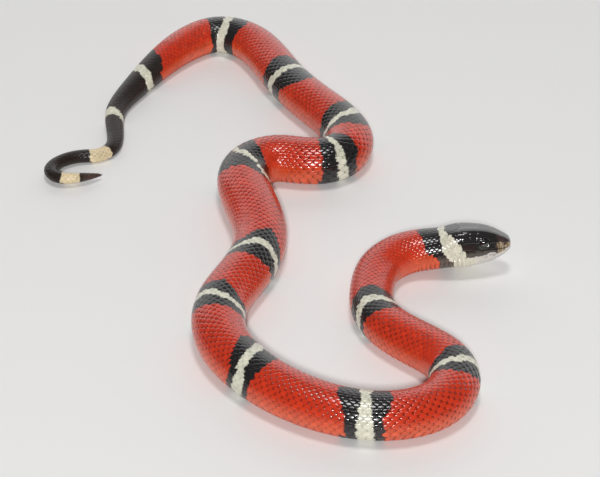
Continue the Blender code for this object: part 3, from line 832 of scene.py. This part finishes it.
def plate_colours(pattern, where, share, pitch, jitter, rim):
    """Each plate one colour of the markings, with painted shade over its covered root and a darker low rim that is
    partly the dark skin between scales and partly painted shade, both weaker on the flanks and on pale plates.
    """
    points, _, _ = pattern
    own = 0.8
    at_where = where + own * points[:, 0] * pitch + 0.1 * jitter[:, 2:3]
    at_turn = turn_of(where, share) * np.ones_like(at_where)
    base = marking_colour(at_where, at_turn) * (1 + 0.06 * jitter[:, :1, None])
    # Painted shade: the front of each plate, which lies under the plates ahead of it, is darkened, and so is its low
    # rim.
    root = ease((-0.12 - points[:, 0]) / 0.4)
    edge = ease((0.03 - points[:, 2]) / 0.03)
    root_shade_and_rim = (0.78 * root + rim * edge * (1 - root))[None, :]
    flank = ease((np.abs(at_turn[:, :1]) - 40) / 50)
    pale = ease((base[..., 2] - 0.15) / 0.2)
    shade = 1 - root_shade_and_rim * (1 - 0.6 * flank) * (1 - 0.65 * pale)
    return (base * shade[..., None]).reshape(-1, 3)


scale_pattern = take_pattern(model_scale())
places = scale_places()
places = places[~covered_by_shields(places[:, 0], turn_of(places[:, 0], places[:, 1]))]
scale_material = horn_material("scales", 0.3, 0.14, 0.4, 0.12)
tail_material = horn_material("tail_scales", 0.3, 0.22, 0.1, 0.12)
tail_material.node_tree.nodes["Principled BSDF"].inputs["IOR"].default_value = 1.35
coat_ends = np.linspace(places[0, 0], places[-1, 0] + 0.01, 6)
for number, (start, end) in enumerate(zip(coat_ends, coat_ends[1:]), 1):
    part = places[(places[:, 0] >= start) & (places[:, 0] < end)]
    coat, at, share, jitter = copy_plates(
        f"back_scales_{number}", scale_pattern, part, (0.0, 0.06), 1.0, 40 + number
    )
    add_colour(coat, "marking", plate_colours(scale_pattern, at, share, part[:, 3:], jitter, 0.45))
    bake_map(coat, scale_pattern, at, share, start, end)
    coat.data.materials.append(tail_material if number == 5 else scale_material)
    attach(coat, "root")

# ---------------------------------------------------------------------------------------
# The belly plates. One broad smooth plate to each scale of the back, from flank to flank,
# with its rear edge over the next, and behind the vent a pair of half plates instead. The
# animal grips the ground with their edges.
BELLY_FROM = 6.6
VENT = 284.0


def model_belly_plate():
    """One broad plate: a long bar, thin at the front and rounded off at its rear edge."""
    bpy.ops.object.select_all(action="DESELECT")
    bpy.ops.mesh.primitive_grid_add(x_subdivisions=3, y_subdivisions=14, size=2.0)
    plate = bpy.context.object
    for vertex in plate.data.vertices:
        x, y, _ = vertex.co
        along = (x + 1) / 2
        pulled = 0.16 * abs(y)**3
        vertex.co = (-0.5 + 1.12 * along**0.8 - pulled * along, y * 1.03, 0.03 * math.sin(math.pi * along))
    bpy.ops.object.mode_set(mode="EDIT")
    bpy.ops.mesh.select_all(action="SELECT")
    bpy.ops.mesh.extrude_region_move(TRANSFORM_OT_translate={"value": (0, 0, -0.05)})
    bpy.ops.mesh.select_all(action="SELECT")
    bpy.ops.mesh.normals_make_consistent(inside=False)
    bpy.ops.object.mode_set(mode="OBJECT")
    return plate


belly_pattern = take_pattern(model_belly_plate())
marks, sizes = zip(*PITCH)
steps = np.arange(BELLY_FROM, TAIL_END - 0.8, 0.02)
counted = np.cumsum(0.02 / np.interp(steps, marks, sizes))
belly_half = 1 - COAT_SHARE
belly_places = []
for side, slip in ((1, 0.0), (-1, 0.5)):
    for at in steps[:-1][np.diff(np.floor(counted + slip)) > 0]:
        if at > VENT:
            belly_places.append((at, side * (1 - belly_half / 2), belly_half / 2, np.interp(at, marks, sizes)))
        elif side > 0:
            belly_places.append((at, 1.0, belly_half, np.interp(at, marks, sizes)))
belly_places = np.array(sorted(belly_places))


def copy_belly(name, pattern, places, seed):
    """The broad plates laid across the belly, from one flank to the other."""
    points, corners, sizes = pattern
    random = np.random.default_rng(seed)
    jitter = random.normal(0, 1, (len(places), 3))
    where, share, width, pitch = (column[:, None] for column in places.T)
    at_where = np.minimum(where + points[:, 0] * pitch, TAIL_END - 0.05)
    around = share + points[:, 1] * width
    at_share = np.where(around > 1, around - 2, np.where(around < -1, around + 2, around))
    at_turn = turn_of(at_where, at_share)
    grow = np.clip(half_width(at_where) / 3.5, 0.25, 1)
    height = (points[:, 2] + 0.01 + 0.06 * (points[:, 0] + 0.5)) * grow - skin_depth(at_where)
    placed = (on_form(at_where, at_turn) + outward(at_where, at_turn) * height[..., None]) * MM
    offsets = (np.arange(len(places)) * len(points))[:, None]
    piece = new_piece(name, placed.reshape(-1, 3), (corners + offsets).ravel(), np.tile(sizes, len(places)))
    turned = turn_of(where + 0 * points[:, 0], at_share)
    base = marking_colour(where + 0.1 * jitter[:, :1] + 0 * points[:, 0], turned)
    # Painted shade: the covered front of each belly plate is darkened, less on pale plates.
    root = ease((-0.2 - points[:, 0]) / 0.3)
    pale = ease((base[..., 2] - 0.15) / 0.2)
    shade = 1 - 0.6 * root[None, :] * (1 - 0.75 * pale)
    add_colour(piece, "marking", (base * shade[..., None]).reshape(-1, 3))
    layer = piece.data.uv_layers.new(name="OFBake")
    root_at = np.stack([0.01 + 0.98 * where[:, 0] / 334, 0.5 + 0.49 * share[:, 0]], -1)
    spread = points[:, :2] / np.abs(points[:, :2]).max() * 0.0015
    layer.data.foreach_set("uv", (root_at[:, None] + spread[corners][None]).reshape(-1).astype(np.float32))
    return piece


belly = copy_belly("belly_plates", belly_pattern, belly_places, 7)
belly.data.materials.append(horn_material("belly_horn", 0.25, 0.2, 0.35, 0.15))
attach(belly, "root")

# ---------------------------------------------------------------------------------------
# The eyes. A snake's eye has no lids: a round pupil in a dark iris, behind one fixed clear
# scale that keeps it wet and bright.


def eye_material():
    """Black pupil and a dark brown iris, darker towards its edge, under a clear hard gloss."""
    material = bpy.data.materials.new("eye_under_clear_scale")
    material.use_nodes = True
    nodes, links = material.node_tree.nodes, material.node_tree.links
    shader = nodes["Principled BSDF"]
    angle = nodes.new("ShaderNodeAttribute")
    angle.attribute_name = "from_pupil"
    ramp = nodes.new("ShaderNodeValToRGB")
    stops = ramp.color_ramp.elements
    stops[0].position, stops[0].color = 0.0, (0.002, 0.002, 0.002, 1)
    stops[1].position, stops[1].color = 0.36, (0.002, 0.002, 0.002, 1)
    for position, colour in ((0.40, (0.016, 0.010, 0.007, 1)), (0.6, (0.008, 0.005, 0.004, 1)),
                             (0.72, (0.004, 0.004, 0.004, 1))):
        stop = stops.new(position)
        stop.color = colour
    links.new(angle.outputs["Fac"], ramp.inputs["Fac"])
    place = nodes.new("ShaderNodeTexCoord")
    fleck = nodes.new("ShaderNodeTexNoise")
    fleck.inputs["Scale"].default_value = 9000.0
    links.new(place.outputs["Object"], fleck.inputs["Vector"])
    mixed = nodes.new("ShaderNodeMix")
    mixed.data_type = "RGBA"
    mixed.blend_type = "MULTIPLY"
    mixed.inputs["Factor"].default_value = 0.6
    links.new(ramp.outputs["Color"], mixed.inputs[6])
    links.new(fleck.outputs["Color"], mixed.inputs[7])
    links.new(mixed.outputs[2], shader.inputs["Base Color"])
    shader.inputs["Roughness"].default_value = 0.12
    shader.inputs["Coat Weight"].default_value = 1.0
    shader.inputs["Coat Roughness"].default_value = 0.05
    shader.inputs["Coat IOR"].default_value = 1.9
    shader.inputs["IOR"].default_value = 1.4
    return material


eye_finish = eye_material()
for word, (centre, look) in zip(("left", "right"), eye_places()):
    bpy.ops.object.select_all(action="DESELECT")
    turn_to = Vector(look).to_track_quat("Z", "Y").to_euler()
    bpy.ops.mesh.primitive_uv_sphere_add(
        segments=40, ring_count=28, radius=EYE_RADIUS * MM, location=Vector(centre) * MM, rotation=turn_to
    )
    eye = bpy.context.object
    eye.name = f"eyeball_{word}"
    bpy.ops.object.transform_apply(location=True, rotation=True, scale=True)
    eye.data.shade_smooth()
    off = np.array([vertex.co[:] for vertex in eye.data.vertices]) / MM - centre
    angle = np.arccos(np.clip(off @ look / EYE_RADIUS, -1, 1)) / (math.pi / 2)
    layer = eye.data.attributes.new("from_pupil", "FLOAT", "POINT")
    layer.data.foreach_set("value", angle.astype(np.float32))
    eye.data.materials.append(eye_finish)
    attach(eye, "root")
    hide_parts(f"eye_{word}")

# ---------------------------------------------------------------------------------------
# The floor, the lights and the camera: a plain pale sheet, soft light from above and a small
# bright lamp, seen from where the photograph was taken.
bpy.ops.object.select_all(action="DESELECT")
bpy.ops.mesh.primitive_plane_add(size=3.0, location=(0, 0, 0))
floor = bpy.context.object
floor.name = "floor"
floor_material = bpy.data.materials.new("pale_sheet")
floor_material.use_nodes = True
floor_shader = floor_material.node_tree.nodes["Principled BSDF"]
floor_shader.inputs["Base Color"].default_value = (0.90, 0.893, 0.882, 1)
floor_shader.inputs["Roughness"].default_value = 0.6
floor.data.materials.append(floor_material)

world = bpy.data.worlds.new("studio")
bpy.context.scene.world = world
world.use_nodes = True
world.node_tree.nodes["Background"].inputs["Color"].default_value = (1, 1, 1, 1)
world.node_tree.nodes["Background"].inputs["Strength"].default_value = 0.12
bpy.context.scene.view_settings.view_transform = "Standard"


def add_lamp(name, width, height, power, place):
    """A lamp of that width and height at a place, turned to face the snake."""
    light = bpy.data.lights.new(name, "AREA")
    light.shape = "RECTANGLE"
    light.size = width
    light.size_y = height
    light.energy = power
    lamp = bpy.data.objects.new(name, light)
    lamp.location = place
    lamp.rotation_euler = (-Vector(place)).to_track_quat("-Z", "Y").to_euler()
    bpy.context.scene.collection.objects.link(lamp)


add_lamp("lamp_beside_the_lens", 0.09, 0.09, 5.0, (-0.02, -0.78, 0.52))
add_lamp("lamp_overhead", 0.20, 0.20, 1.9, (0.03, 0.0, 0.85))
add_lamp("bright_wall", 4.0, 1.25, 15.5, (0.6, 1.25, 0.63))
bpy.data.objects["bright_wall"].rotation_euler = (math.radians(-90), 0, 0)

camera_data = bpy.data.cameras.new("camera")
camera_data.lens = 120.0
camera_data.sensor_width = 36.0
camera_data.clip_start = 0.01
camera = bpy.data.objects.new("camera", camera_data)
camera.location = (0.0061, -0.32435, 0.221)
camera.rotation_euler = (math.radians(55), 0, 0)
bpy.context.scene.collection.objects.link(camera)
bpy.context.scene.camera = camera
